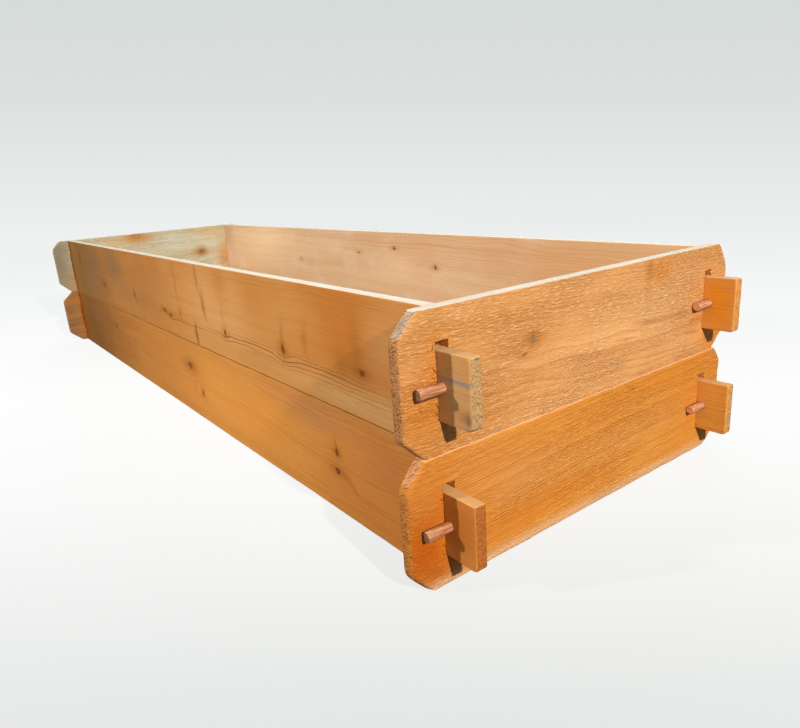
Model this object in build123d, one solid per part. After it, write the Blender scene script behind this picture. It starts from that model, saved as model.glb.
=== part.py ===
"""Two-tier raised garden bed frame in cedar.

Each tier is two long boards and two end boards.  A tenon on each end of a
long board goes right through a mortise in the end board, and a round wooden
peg through the tenon, outside the end board, locks the corner.  The second
tier stands on the first.

Frame: millimetres, +X along the long boards (the right end is +X), +Y to the
back, +Z up.  The origin is on the ground, in the middle of the bed.
"""
from build123d import *
import os

# ---------------------------------------------------------------- dimensions
tier_height = 190.5         # one board wide, 7 1/2 in
tier_gap = 0.3              # seam between the tiers
long_board_length = 2286.0  # 7 1/2 ft over the tenon tips
long_board_thick = 19.05    # 3/4 in
end_board_length = 749.3    # 29 1/2 in from ear to ear
end_board_thick = 20.6      # 13/16 in
bed_width = 639.1           # over the outer faces of the two long boards
edge_ease = 1.5             # small chamfer along the board edges

tenon_out = 59.2            # how far the tenon stands out of the end board
tenon_bottom = 45.0         # height of the tenon's lower edge in its tier
tenon_height = 93.0
tenon_tip_ease = 3.0        # chamfer around the tip of the tenon

mortise_gap = 0.6           # below the tenon and on each side of it
mortise_bottom = tenon_bottom - mortise_gap
mortise_height = 103.7      # leaves a slot above the tenon

peg_diameter = 15.9         # 5/8 in
peg_length = 95.25          # 3 3/4 in
peg_gap = 0.1               # peg to hole, radially, and peg to end board
peg_end_ease = 1.0

ear_cut_y = 30.0            # clipped corner of an end board, along its length
ear_cut_z = 35.0            # and up its side
ear_round_long = 10.0       # radius where the clip meets the long edge
ear_round_end = 20.0        # radius where the clip meets the end

match_tolerance = 0.01      # for picking edges and vertices by position

# ---------------------------------------------------------------- positions
half_length = long_board_length / 2
face_out = half_length - tenon_out           # outer face of an end board
face_in = face_out - end_board_thick         # inner face, where shoulders butt
end_x = (face_out + face_in) / 2             # mid-plane of an end board
long_y = (bed_width - long_board_thick) / 2  # mid-plane of a long board
peg_x = face_out + peg_gap + peg_diameter / 2
peg_height = tenon_bottom + tenon_height / 2  # peg axis above its tier's bottom


def long_board(y, z):
    """A long board, tenoned and bored at both ends; mid-plane y, bottom z."""
    body = Pos(0, 0, tier_height / 2) * Box(
        2 * face_in, long_board_thick, tier_height)
    body = chamfer(body.edges().filter_by(Axis.X), edge_ease)

    # One bar through the whole board makes both tenons.
    tenons = Pos(0, 0, tenon_bottom + tenon_height / 2) * Box(
        long_board_length, long_board_thick, tenon_height)
    tip_edges = [edge for edge in tenons.edges()
                 if abs(abs(edge.center().X) - half_length) < match_tolerance]
    tenons = chamfer(tip_edges, tenon_tip_ease)
    board = body + tenons

    for side in (-1, 1):
        # Twice the board's thickness, so the hole goes clean through.
        board = board - Pos(side * peg_x, 0, peg_height) * Rot(90, 0, 0) * Cylinder(
            peg_diameter / 2 + peg_gap, 2 * long_board_thick)
    return Pos(0, y, z) * board


def end_board_outline():
    """The end board's face in the YZ plane, with clipped, rounded ears."""
    end_y = end_board_length / 2
    clip_y = end_y - ear_cut_y
    clip_top = tier_height - ear_cut_z
    outline = Polyline(
        (-clip_y, 0), (clip_y, 0),
        (end_y, ear_cut_z), (end_y, clip_top),
        (clip_y, tier_height), (-clip_y, tier_height),
        (-end_y, clip_top), (-end_y, ear_cut_z), close=True)
    face = make_face(Plane.YZ * outline)
    for corner_y, radius in ((end_y, ear_round_end), (clip_y, ear_round_long)):
        corners = [vertex for vertex in face.vertices()
                   if abs(abs(vertex.Y) - corner_y) < match_tolerance]
        face = fillet(corners, radius)
    return face


def end_board(x, z):
    """An end board with two through mortises; mid-plane x, bottom z."""
    board = extrude(end_board_outline(), end_board_thick / 2, both=True)
    # The rims are eased before the mortises are cut, which stay sharp.
    rims = [edge for face in board.faces()
            if abs(abs(face.normal_at().X) - 1) < 1e-6
            for edge in face.outer_wire().edges()]
    board = chamfer(rims, edge_ease)

    for side in (-1, 1):
        # Twice the board's thickness, so the mortise goes clean through.
        board = board - Pos(side * long_y, 0, 0).inverse() * Pos(
            side * long_y, side * long_y, mortise_bottom + mortise_height / 2) * Box(
            2 * end_board_thick, long_board_thick + 2 * mortise_gap, mortise_height)
    return Pos(x, 0, z) * board


def peg(x, y, z):
    """A round locking peg across tenon (x, y), in the tier with bottom z."""
    rod = Cylinder(peg_diameter / 2, peg_length)
    rims = [edge for edge in rod.edges()
            if abs(abs(edge.center().Z) - peg_length / 2) < match_tolerance]
    rod = chamfer(rims, peg_end_ease)
    return Pos(x, y, z + peg_height) * Rot(90, 0, 0) * rod


# ---------------------------------------------------------------- both tiers
nodes = {}
for tier, z in (("lower", 0.0), ("upper", tier_height + tier_gap)):
    for end, x_side in (("left", -1), ("right", 1)):
        nodes[f"{tier}_{end}_end_board"] = end_board(x_side * end_x, z)
    for face, y_side in (("front", -1), ("back", 1)):
        nodes[f"{tier}_{face}_board"] = long_board(y_side * long_y, z)
        for end, x_side in (("left", -1), ("right", 1)):
            nodes[f"{tier}_{face}_{end}_peg"] = peg(
                x_side * peg_x, y_side * long_y, z)

os.makedirs("parts", exist_ok=True)
for name, shape in nodes.items():
    export_step(shape, f"parts/{name}.step")
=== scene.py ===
"""A cedar raised bed frame: two tiers of sawn boards with through tenons and pegs.

The front is -Y, the back +Y, the right end +X and the left end -X; the floor is z = 0.
Board meshes are worked out in mm in the board's own directions: run along the grain from the
middle of the board, rise from the bottom of its tier, depth through its thickness.
"""
import math
from dataclasses import dataclass
from types import SimpleNamespace

import bmesh
import bpy
import numpy as np
from mathutils import Matrix, Vector


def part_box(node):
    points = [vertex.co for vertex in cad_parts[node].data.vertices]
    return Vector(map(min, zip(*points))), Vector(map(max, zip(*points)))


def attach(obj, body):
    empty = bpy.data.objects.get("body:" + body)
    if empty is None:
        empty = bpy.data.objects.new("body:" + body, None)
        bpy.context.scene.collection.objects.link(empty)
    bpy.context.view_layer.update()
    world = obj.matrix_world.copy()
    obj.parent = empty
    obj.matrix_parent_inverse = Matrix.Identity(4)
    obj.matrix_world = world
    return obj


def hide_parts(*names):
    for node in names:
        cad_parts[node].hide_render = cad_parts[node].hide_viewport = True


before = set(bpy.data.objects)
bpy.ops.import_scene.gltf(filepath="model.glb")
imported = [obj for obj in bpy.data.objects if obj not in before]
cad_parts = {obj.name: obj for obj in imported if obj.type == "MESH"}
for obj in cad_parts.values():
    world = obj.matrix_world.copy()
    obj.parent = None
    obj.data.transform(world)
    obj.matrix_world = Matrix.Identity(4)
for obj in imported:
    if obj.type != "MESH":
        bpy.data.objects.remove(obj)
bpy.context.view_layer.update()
MM = 0.001


# ------------------------------------------------------------------ sizes from the frame (mm)
def mm_box(node_name):
    low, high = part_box(node_name)
    return np.array(low) * 1000.0, np.array(high) * 1000.0


LONG = mm_box("lower_front_board")
LONG_BACK = mm_box("lower_back_board")
END = mm_box("lower_right_end_board")
PEG = mm_box("lower_front_right_peg")
TIP = LONG[1][0]                       # x of a tenon's tip
FACE_OUT = END[1][0]                   # outer face of an end board
FACE_IN = END[0][0]                    # inner face of an end board
HALF_W = END[1][1]                     # half the ear-to-ear length
H = END[1][2] - END[0][2]              # height of one tier
T_LONG = LONG[1][1] - LONG[0][1]       # thickness of a long board
T_END = FACE_OUT - FACE_IN             # thickness of an end board
Y_LONG = (LONG_BACK[0][1] + LONG_BACK[1][1]) / 2
PEG_R = (PEG[1][2] - PEG[0][2]) / 2
PEG_L = PEG[1][1] - PEG[0][1]
PEG_X = (PEG[0][0] + PEG[1][0]) / 2
PEG_Z = (PEG[0][2] + PEG[1][2]) / 2
Z0 = {"lower": 0.0, "upper": mm_box("upper_right_end_board")[0][2]}

TENON = (45.0, 138.0)                  # lower and upper edge of a tenon in its tier
SLOT_GAP = 0.6                         # play at the sides of a tenon and under it
MORTISE_HALF = T_LONG / 2 + SLOT_GAP
MORTISE = (TENON[0] - SLOT_GAP, 148.1)
HOLE_R = PEG_R + 0.1
HOLE_PATCH = 12.0                      # half the square of mesh that holds a peg hole
EAR = 70.0                             # how far the clipped corners reshape an end board
CORNER = (30, 35, 10, 20)              # cut along, cut up, radius at long edge, radius at end
LONG_EDGE_R = 1.7                      # rounding of an end board's long edges
FRONT_LEAN = 2.2                       # the front boards' right end sits this far inwards
BACK_TRIM = 3.5                        # the back boards' right tenons are this much shorter
INSETS = (0.0, 0.15, 0.45, 1.0, 1.8, 3.0, 4.6, 6.6, 9.0)    # grid lines next to a rounded edge
WALL_RINGS = 4                         # rows of faces through a board's thickness
PEG_SIDES = 40


def tier_of(name):
    return name.split("_")[0]


def side_of(name):
    """+1 for right and back pieces, -1 for left and front ones."""
    return 1 if "right" in name or "back" in name else -1


# ------------------------------------------------------------------ repeatable noise
def lattice(column, row, seed):
    n = (column.astype(np.int64) * 374761393 + row.astype(np.int64) * 668265263
         + seed * 1442695041) & 0xFFFFFFFF
    n = ((n ^ (n >> 13)) * 1274126177) & 0xFFFFFFFF
    n = n ^ (n >> 16)
    return (n & 0xFFFF) / 32767.5 - 1.0


def ripple(x, y, seed):
    """Smooth 2D noise from -1 to 1."""
    x, y = np.broadcast_arrays(np.asarray(x, float), np.asarray(y, float))
    column, row = np.floor(x), np.floor(y)
    x, y = x - column, y - row
    x, y = x * x * (3 - 2 * x), y * y * (3 - 2 * y)
    near = lattice(column, row, seed) * (1 - x) + lattice(column + 1, row, seed) * x
    far = lattice(column, row + 1, seed) * (1 - x) + lattice(column + 1, row + 1, seed) * x
    return near * (1 - y) + far * y


def name_seed(name):
    total = 7
    for letter in name:
        total = (total * 31 + ord(letter)) % 9973
    return total


# ------------------------------------------------------------------ meshes
def mesh_object(name, points_mm, faces, sharp_deg, validate=False):
    mesh = bpy.data.meshes.new(name)
    mesh.from_pydata([tuple(point) for point in points_mm * MM], [], faces)
    if validate:
        mesh.validate()
    mesh.update()
    work = bmesh.new()
    work.from_mesh(mesh)
    bmesh.ops.recalc_face_normals(work, faces=work.faces)
    work.to_mesh(mesh)
    work.free()
    mesh.shade_smooth()
    mesh.set_sharp_from_angle(angle=math.radians(sharp_deg))
    made = bpy.data.objects.new(name, mesh)
    bpy.context.scene.collection.objects.link(made)
    return made


def grid_lines(marks, step):
    """Grid lines through every mark, with no gap wider than step."""
    marks = sorted(set(round(mark, 4) for mark in marks))
    out = [marks[0]]
    for a, b in zip(marks[:-1], marks[1:]):
        n = max(1, int(math.ceil((b - a) / step - 1e-9)))
        out += [a + (b - a) * k / n for k in range(1, n + 1)]
    return np.array(out)


def middles(values):
    return (values[:-1] + values[1:]) / 2


class Plate:
    """A flat sheet of quads on a grid of runs and rises; keep says which cells are wood."""

    def __init__(self, runs, rises, keep):
        self.runs, self.rises = runs, rises
        self.index = -np.ones((len(runs), len(rises)), int)
        self.points = []
        self.quads = []
        for i in range(len(runs) - 1):
            for j in range(len(rises) - 1):
                if keep[i, j]:
                    self.quads.append((self.corner(i, j), self.corner(i + 1, j),
                                       self.corner(i + 1, j + 1), self.corner(i, j + 1)))

    def corner(self, i, j):
        if self.index[i, j] < 0:
            self.index[i, j] = len(self.points)
            self.points.append((self.runs[i], self.rises[j]))
        return self.index[i, j]

    def bore(self, run, rise, radius, half):
        """Round hole in a square gap of the grid with the given half size."""
        i0, i1 = (np.argmin(abs(self.runs - (run + k))) for k in (-half, half))
        j0, j1 = (np.argmin(abs(self.rises - (rise + k))) for k in (-half, half))
        ring = [(i, j0) for i in range(i0, i1)] + [(i1, j) for j in range(j0, j1)]
        ring += [(i, j1) for i in range(i1, i0, -1)] + [(i0, j) for j in range(j1, j0, -1)]
        outer = [self.corner(i, j) for i, j in ring]
        square = [np.array(self.points[k]) for k in outer]
        centre = np.array([run, rise])
        circle = [centre + radius * (p - centre) / np.linalg.norm(p - centre) for p in square]
        n = len(outer)
        for share in (0.45, 0.78, 0.92, 1.0):
            inner = []
            for start, goal in zip(square, circle):
                inner.append(len(self.points))
                self.points.append(tuple(start + (goal - start) * share))
            for k in range(n):
                after = (k + 1) % n
                self.quads.append((outer[k], outer[after], inner[after], inner[k]))
            outer = inner


def line_distance(points, polyline):
    """Distance from each point to the nearest part of the polyline."""
    start, step = polyline[:-1], polyline[1:] - polyline[:-1]
    length2 = np.maximum((step * step).sum(1), 1e-12)
    offset = points[:, None, :] - start[None]
    share = np.clip((offset * step[None]).sum(2) / length2[None], 0, 1)
    gap = offset - share[..., None] * step[None]
    return np.sqrt((gap * gap).sum(2)).min(1)


def edge_drops(points, rims, half):
    """How far rounded rims lower the outer and the inner face at each point."""
    drops = [np.zeros(len(points)), np.zeros(len(points))]
    for polyline, outer_r, inner_r, seed in rims:
        polyline = np.asarray(polyline, float)
        low, high = polyline.min(0) - 14, polyline.max(0) + 14
        near = np.where(((points >= low) & (points <= high)).all(1))[0]
        distance = line_distance(points[near], polyline)
        x, y = points[near, 0], points[near, 1]
        for face, radius in enumerate((outer_r, inner_r)):
            radius = radius * (1 + 0.30 * ripple(x * 0.045, y * 0.045, seed + face)
                               + 0.12 * ripple(x * 0.4, y * 0.4, seed + 5 + face))
            radius = np.minimum(radius, half * 0.85)
            reach = radius - np.minimum(distance, radius)
            drop = radius - np.sqrt(np.maximum(radius * radius - reach ** 2, 0))
            drops[face][near] = np.maximum(drops[face][near], drop)
    return drops


def solid(name, plate, thick, warp, rims, face_noise, place):
    """Closes a plate into a board.

    rims: (polyline, radius on the outer face, radius on the inner face, seed)
    """
    points = warp(np.array(plate.points, float))
    quads = plate.quads
    n = len(points)
    half = thick / 2
    edges = dict.fromkeys(e for q in quads for e in zip(q, q[1:] + q[:1]))
    border = [(a, b) for a, b in edges if (b, a) not in edges]
    inside = np.ones(n, bool)
    for a, b in border:
        inside[[a, b]] = False
    drop_out, drop_in = edge_drops(points, rims, half)
    outer = half - drop_out - face_noise(points, 0) * inside
    inner = -half + drop_in + face_noise(points, 1) * inside
    verts = [np.column_stack([points, outer]), np.column_stack([points, inner])]
    faces = [tuple(q) for q in quads] + [tuple(n + k for k in reversed(q)) for q in quads]
    # walls round the border, in rows between the two faces
    rim = np.array(sorted(set(k for edge in border for k in edge)))
    slot = {k: i for i, k in enumerate(rim)}
    for row in range(1, WALL_RINGS):
        t = row / WALL_RINGS
        verts.append(np.column_stack([points[rim], outer[rim] * (1 - t) + inner[rim] * t]))

    def wall_index(k, row):
        if row == 0:
            return k
        if row == WALL_RINGS:
            return n + k
        return 2 * n + (row - 1) * len(rim) + slot[k]

    for a, b in border:
        for row in range(WALL_RINGS):
            faces.append((wall_index(b, row), wall_index(a, row),
                          wall_index(a, row + 1), wall_index(b, row + 1)))
    return mesh_object(name, place(np.vstack(verts)), faces, 50, validate=True)


def arc(centre, radius, start, end, steps=9):
    angles = [start + (end - start) * k / steps for k in range(steps + 1)]
    return [(centre[0] + radius * math.cos(angle), centre[1] + radius * math.sin(angle))
            for angle in angles]


def fillet_path(points, radii):
    """Rounds each inner corner of an open path."""
    out = [tuple(points[0])]
    for k in range(1, len(points) - 1):
        before, here, after = (np.array(point, float) for point in points[k - 1:k + 2])
        back = (before - here) / np.linalg.norm(before - here)
        ahead = (after - here) / np.linalg.norm(after - here)
        angle = math.acos(np.clip(back @ ahead, -1, 1))
        radius = radii[k]
        reach = radius / math.tan(angle / 2)
        bisector = (back + ahead) / np.linalg.norm(back + ahead)
        centre = here + bisector * radius / math.sin(angle / 2)
        start = math.atan2(*(here + back * reach - centre)[::-1])
        end = math.atan2(*(here + ahead * reach - centre)[::-1])
        turn = (end - start + math.pi) % (2 * math.pi) - math.pi
        out += arc(centre, radius, start, start + turn)
    out.append(tuple(points[-1]))
    return out


# ------------------------------------------------------------------ end boards
def corner_path(cut, end, top):
    """Outline of one clipped corner, from the long edge to mid height."""
    cut_along, cut_up, edge_r, end_r = cut
    edge = H if top else 0.0
    inward = -1 if top else 1
    points = [(end * (HALF_W - EAR), edge), (end * (HALF_W - cut_along), edge),
              (end * HALF_W, edge + inward * cut_up), (end * HALF_W, H / 2)]
    return np.array(fillet_path(points, [0, edge_r, end_r, 0]))


def edge_height(path, run):
    """Height of a corner's outline at each distance from the middle."""
    x, z = np.abs(path[:, 0]), path[:, 1]
    keep = np.concatenate([[True], np.diff(x) > 1e-6])
    last = x >= HALF_W - 1e-4
    keep &= ~(last & (np.cumsum(last) > 1))
    return np.interp(np.abs(run), x[keep], z[keep])


def end_board(name, bl=CORNER, tl=CORNER, br=CORNER, tr=CORNER,
              end_r=5.5, bottom_r=LONG_EDGE_R, top_r=LONG_EDGE_R):
    """bl, tl, br, tr: corner cuts, laid out as CORNER; b bottom, t top, l at -Y, r at +Y.

    The radii are those of the outer face at the ends, the bottom edge and the top edge.
    """
    side = side_of(name)
    seed = name_seed(name)
    cuts = {(-1, False): bl, (-1, True): tl, (1, False): br, (1, True): tr}
    paths = {key: corner_path(cut, *key) for key, cut in cuts.items()}
    slot_y = {-1: -Y_LONG + (FRONT_LEAN if side > 0 else 0.0), 1: Y_LONG}
    slot_insets = (0, 0.3, 0.8, 1.6, 3.0)

    marks = []
    for s in (-1, 1):
        marks += [s * (HALF_W - k) for k in INSETS + (12, 16, 20, 25, 30, 35, 40, 48, 58, EAR)]
        for e in (-1, 1):
            marks += [slot_y[s] + e * MORTISE_HALF + e * k for k in slot_insets]
        marks += [slot_y[s] + MORTISE_HALF * share for share in (-0.5, 0, 0.5)]
    runs = grid_lines(marks, 4.0)
    marks = list(INSETS) + [H - k for k in INSETS]
    marks += [MORTISE[0] - k for k in slot_insets] + [MORTISE[1] + k for k in slot_insets]
    rises = grid_lines(marks, 3.4)
    run, rise = middles(runs), middles(rises)
    in_slot = np.abs(run - slot_y[-1]) < MORTISE_HALF
    in_slot |= np.abs(run - slot_y[1]) < MORTISE_HALF
    hole = in_slot[:, None] & ((rise > MORTISE[0]) & (rise < MORTISE[1]))[None]
    plate = Plate(runs, rises, ~hole)

    def warp(points):
        run, rise = points[:, 0], points[:, 1]
        out = points.copy()
        for s in (-1, 1):
            m = run * s > HALF_W - EAR
            bottom, top = (edge_height(paths[s, is_top], run[m]) for is_top in (False, True))
            out[m, 1] = bottom + rise[m] / H * (top - bottom)
        # torn fibres round the mortises: the edge wanders outwards
        for s in (-1, 1):
            for e in (-1, 1):
                edge = slot_y[s] + e * MORTISE_HALF
                m = (abs(run - edge) < 0.01) & (rise > MORTISE[0] - 0.01)
                m &= rise < MORTISE[1] + 0.01
                z, line = rise[m], s * 3 + e
                torn = np.maximum(0, ripple(z * 0.21, line, seed)) ** 2
                torn = 1.9 * torn * (0.55 + 0.45 * ripple(z * 1.7, 0, seed + 3))
                frayed = 0.15 + 0.35 * ripple(z * 0.33, line, seed + 6) + torn
                out[m, 0] += e * np.maximum(0, frayed)
        return out

    rims = []
    for key, path in paths.items():
        end_part = path[np.abs(path[:, 0]) > HALF_W - cuts[key][0] - 2]
        rims.append((end_part, end_r, 2.0, seed + 3))
    edge = HALF_W - 22
    rims.append(([(-edge, 0), (edge, 0)], bottom_r, LONG_EDGE_R, seed + 7))
    rims.append(([(-edge, H), (edge, H)], top_r, LONG_EDGE_R, seed + 8))
    low, high = MORTISE
    for middle in slot_y.values():
        a, b = middle - MORTISE_HALF, middle + MORTISE_HALF
        rims.append(([(a, low), (b, low), (b, high), (a, high), (a, low)], 0.7, 0.5, seed + 9))

    def face_noise(points, face):
        run, rise = points[:, 0], points[:, 1]
        blade = 0.10 * (1 + ripple(run * 0.22 + 0.02 * rise, rise * 0.02, seed + 11 + face))
        fuzz = 0.10 * (1 + ripple(run * 0.08, rise * 0.45, seed + 12 + face))
        wave = 0.16 * (1 + ripple(run * 0.012, rise * 0.02, seed + 13 + face))
        return blade + fuzz + wave

    middle_x = side * (FACE_OUT + FACE_IN) / 2

    def place(v):
        return np.column_stack([middle_x + side * v[:, 2], v[:, 0], Z0[tier_of(name)] + v[:, 1]])

    return solid(name, plate, T_END, warp, rims, face_noise, place)


# ------------------------------------------------------------------ long boards
def long_board(name):
    side = side_of(name)
    seed = name_seed(name)
    marks = []
    for s in (-1, 1):
        marks += [s * (TIP - k) for k in INSETS + (12, 16, 20, 25)]
        marks += [s * PEG_X + k * HOLE_PATCH for k in (-1, -0.5, 0, 0.5, 1)]
        marks += [s * FACE_OUT] + [s * (FACE_IN - k) for k in INSETS[:6] + (6, 12)]
    runs = grid_lines(marks, 12.0)
    marks = list(INSETS) + [H - k for k in INSETS]
    for z, e in ((TENON[0], 1), (TENON[1], -1)):
        marks += [z + e * k for k in INSETS[:6] + (5.5,)]
    marks += [PEG_Z + k * HOLE_PATCH for k in (-1, -0.5, 0, 0.5, 1)]
    rises = grid_lines(marks, 4.0)
    run, rise = middles(runs), middles(rises)
    keep = (np.abs(run) < FACE_IN)[:, None] | ((rise > TENON[0]) & (rise < TENON[1]))[None]
    for s in (-1, 1):
        keep &= ~((np.abs(run - s * PEG_X) < HOLE_PATCH)[:, None]
                  & (np.abs(rise - PEG_Z) < HOLE_PATCH)[None])
    plate = Plate(runs, rises, keep)
    for s in (-1, 1):
        plate.bore(s * PEG_X, PEG_Z, HOLE_R, HOLE_PATCH)
    low_r = 6.5 + 2.0 * ripple(seed * 0.37, 0.5, seed)    # lower corner of a tenon's tip
    high_r = 2.2                                          # upper corner

    def tip_cut(run, radius):
        past = np.abs(run) - (TIP - radius)
        cut = radius - np.sqrt(np.maximum(radius**2 - past * past, 0))
        return np.where(past > 0, cut, 0.0)

    def warp(points):
        out = points.copy()
        run, rise = points[:, 0], points[:, 1]
        m = (np.abs(run) > TIP - 14) & (rise >= TENON[0] - 0.01) & (rise <= TENON[1] + 0.01)
        bottom, top = tip_cut(run[m], low_r), tip_cut(run[m], high_r)
        share = (rise[m] - TENON[0]) / (TENON[1] - TENON[0])
        out[m, 1] = TENON[0] + bottom + share * (TENON[1] - TENON[0] - bottom - top)
        return out

    bottom_r, top_r = (0.9, 1.5) if tier_of(name) == "upper" else (1.6, 0.8)
    rims = [([(-FACE_IN, 0), (FACE_IN, 0)], bottom_r, bottom_r, seed + 1),
            ([(-FACE_IN, H), (FACE_IN, H)], top_r, top_r, seed + 2)]
    for s in (-1, 1):
        knee = (s * (TIP - low_r), TENON[0])
        tip = [knee] + arc((knee[0], TENON[0] + low_r), low_r,
                           -math.pi / 2, 0 if s > 0 else -math.pi, 6)
        tip += [(s * TIP, TENON[1] - high_r), (s * (TIP - 1), TENON[1] - 0.4)]
        shoulder = s * FACE_IN
        for line, radius, step in (
                (tip, 2.8, 4),
                ([(shoulder, TENON[0]), knee], 1.3, 5),
                ([(shoulder, TENON[1]), (s * (TIP - 2), TENON[1])], 1.1, 6),
                ([(shoulder, 0), (shoulder, TENON[0])], 0.5, 7),
                ([(shoulder, TENON[1]), (shoulder, H)], 0.5, 8),
                (arc((s * PEG_X, PEG_Z), HOLE_R, 0, 2 * math.pi, 24), 0.4, 9)):
            rims.append((line, radius, radius, seed + step))

    def face_noise(points, face):
        run, rise = points[:, 0], points[:, 1]
        n = (0.12 * (1 + ripple(run * 0.006, rise * 0.03, seed + 21 + face))
             + 0.05 * (1 + ripple(run * 0.02, rise * 0.25, seed + 22 + face)))
        return n * np.where(np.abs(run) < FACE_IN - 3, 1.0, 0.35)

    lean = FRONT_LEAN if side < 0 else 0.0
    trim = BACK_TRIM if side > 0 else 0.0

    def place(v):
        x = v[:, 0].copy()
        start = FACE_OUT + 22.0                    # a trimmed tenon shrinks from here outwards
        m = x > start
        x[m] = start + (x[m] - start) * (TIP - trim - start) / (TIP - start)
        y = side * (Y_LONG + v[:, 2]) + lean * np.clip((x + FACE_IN) / (2 * FACE_IN), 0, 1)
        return np.column_stack([x, y, Z0[tier_of(name)] + v[:, 1]])

    return solid(name, plate, T_LONG, warp, rims, face_noise, place)


# ------------------------------------------------------------------ pegs
# a peg's rounded end: depth from the end (mm), share of the full radius
PEG_END = ((0, 0.0), (0, 0.34), (0, 0.62), (0.05, 0.80),
           (0.25, 0.88), (0.7, 0.945), (1.3, 0.985), (2.2, 1.0))


def peg(name, place):
    """A dowel along Y, with slightly flattened sides.  place: its centre in mm."""
    seed = name_seed(name)
    half = PEG_L / 2
    stations = [(-half + depth, share) for depth, share in PEG_END]
    body = [(y, 1.0) for y in np.linspace(-half + 5, half - 5, 26)]
    stations = stations + body + [(-y, share) for y, share in reversed(stations)]
    verts, faces, rows = [], [], []
    for y, share in stations:
        inward = 1 if y < 0 else -1
        if share == 0.0:
            rows.append([len(verts)])
            verts.append((0.0, y + 0.25 * inward, 0.0))
            continue
        row = []
        for k in range(PEG_SIDES):
            angle = 2 * math.pi * k / PEG_SIDES
            flat = (0.10 * (1 + float(ripple(angle * 1.9, y * 0.01, seed)))
                    + 0.05 * (1 + float(ripple(angle * 7, y * 0.05, seed + 1))))
            radius = (PEG_R - 0.02 - flat * share) * share
            dent = 0.0
            if share < 0.9:
                dent = 0.10 * inward * (1 + float(ripple(
                    math.cos(angle) * 3 * share + 9, math.sin(angle) * 3 * share + 9, seed + 2)))
            row.append(len(verts))
            verts.append((radius * math.cos(angle), y + dent, radius * math.sin(angle)))
        rows.append(row)
    for a, b in zip(rows[:-1], rows[1:]):
        for k in range(PEG_SIDES):
            after = (k + 1) % PEG_SIDES
            if len(a) == 1:
                faces.append((a[0], b[after], b[k]))
            elif len(b) == 1:
                faces.append((a[k], a[after], b[0]))
            else:
                faces.append((a[k], a[after], b[after], b[k]))
    x, y, z = np.array(verts).T
    turn = (seed % 628) / 100.0
    cos, sin = math.cos(turn), math.sin(turn)
    points = np.column_stack([x * cos - z * sin, y, x * sin + z * cos]) + np.array(place)
    return mesh_object(name, points, faces, 60)


# ------------------------------------------------------------------ shader nodes
class Shader:
    tree = None                        # the node tree being built


class Val:
    """A node's output, with arithmetic that adds Math nodes."""

    def __init__(self, socket):
        self.socket = socket

    def __add__(self, other):
        return calc("ADD", self, other)

    def __radd__(self, other):
        return calc("ADD", other, self)

    def __sub__(self, other):
        return calc("SUBTRACT", self, other)

    def __rsub__(self, other):
        return calc("SUBTRACT", other, self)

    def __mul__(self, other):
        return calc("MULTIPLY", self, other)


def node(kind, **settings):
    made = Shader.tree.nodes.new(kind)
    for key, value in settings.items():
        setattr(made, key, value)
    return made


def wire(made, inputs, output=0):
    """Fills a node's inputs, keyed by name or number, and returns one of its outputs."""
    for key, value in inputs.items():
        socket = made.inputs[key]
        if isinstance(value, Val):
            Shader.tree.links.new(value.socket, socket)
        elif isinstance(value, tuple) and len(value) == 3 and socket.type == "RGBA":
            socket.default_value = (*value, 1.0)
        else:
            socket.default_value = value
    return Val(made.outputs[output])


def calc(operation, *args, clamp=False):
    made = node("ShaderNodeMath", operation=operation, use_clamp=clamp)
    return wire(made, dict(enumerate(args)))


def mul_add(value, factor, term):
    return calc("MULTIPLY_ADD", value, factor, term)


def size_abs(value):
    return calc("ABSOLUTE", value)


def offset(value, centre, size):
    """Distance from centre, in sizes."""
    return mul_add(value, 1.0 / size, -centre / size)


def xyz(*parts):
    return wire(node("ShaderNodeCombineXYZ"), dict(enumerate(parts)))


def split(vector):
    made = node("ShaderNodeSeparateXYZ")
    wire(made, {0: vector})
    return [Val(socket) for socket in made.outputs]


def spread(place, factor):
    return xyz(*[part * factor for part in place])


def noise(vector, detail=2.0, rough=0.5, distort=0.0, scale=1.0):
    return wire(node("ShaderNodeTexNoise"), {
        "Vector": vector, "Scale": scale, "Detail": detail, "Roughness": rough,
        "Distortion": distort}, "Fac")


def cells(vector):
    return wire(node("ShaderNodeTexVoronoi"), {"Vector": vector, "Scale": 1.0}, "Distance")


def mix(factor, first, second, blend="MIX"):
    made = node("ShaderNodeMix", data_type="RGBA", blend_type=blend)
    return wire(made, {"Factor": factor, 6: first, 7: second}, 2)


def tinted(colour, tint):
    return mix(1.0, colour, tint, "MULTIPLY")


def ramp(value, start, end, low=0.0, high=1.0, shape="SMOOTHSTEP"):
    """Goes from low to high as value goes from start to end."""
    return wire(node("ShaderNodeMapRange", interpolation_type=shape), {
        "Value": value, "From Min": start, "From Max": end, "To Min": low, "To Max": high})


def tone(colour, saturation, value):
    return wire(node("ShaderNodeHueSaturation"), {
        "Hue": 0.5, "Saturation": saturation, "Value": value, "Color": colour})


def bump(height, distance, normal=None, strength=0.8):
    inputs = {"Strength": strength, "Distance": distance, "Height": height}
    if normal is not None:
        inputs["Normal"] = normal
    return wire(node("ShaderNodeBump"), inputs)


def pointiness():
    return Val(node("ShaderNodeNewGeometry").outputs["Pointiness"])


def coordinates():
    """The point in mm and its normal, along the object's axes."""
    made = node("ShaderNodeTexCoord")
    place = wire(node("ShaderNodeVectorMath", operation="MULTIPLY"),
                 {0: Val(made.outputs["Object"]), 1: (1000.0, 1000.0, 1000.0)}, "Vector")
    return split(place), split(Val(made.outputs["Normal"]))


def new_material(name):
    material = bpy.data.materials.new(name)
    material.use_nodes = True
    Shader.tree = material.node_tree
    Shader.tree.nodes.clear()
    return material


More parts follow.
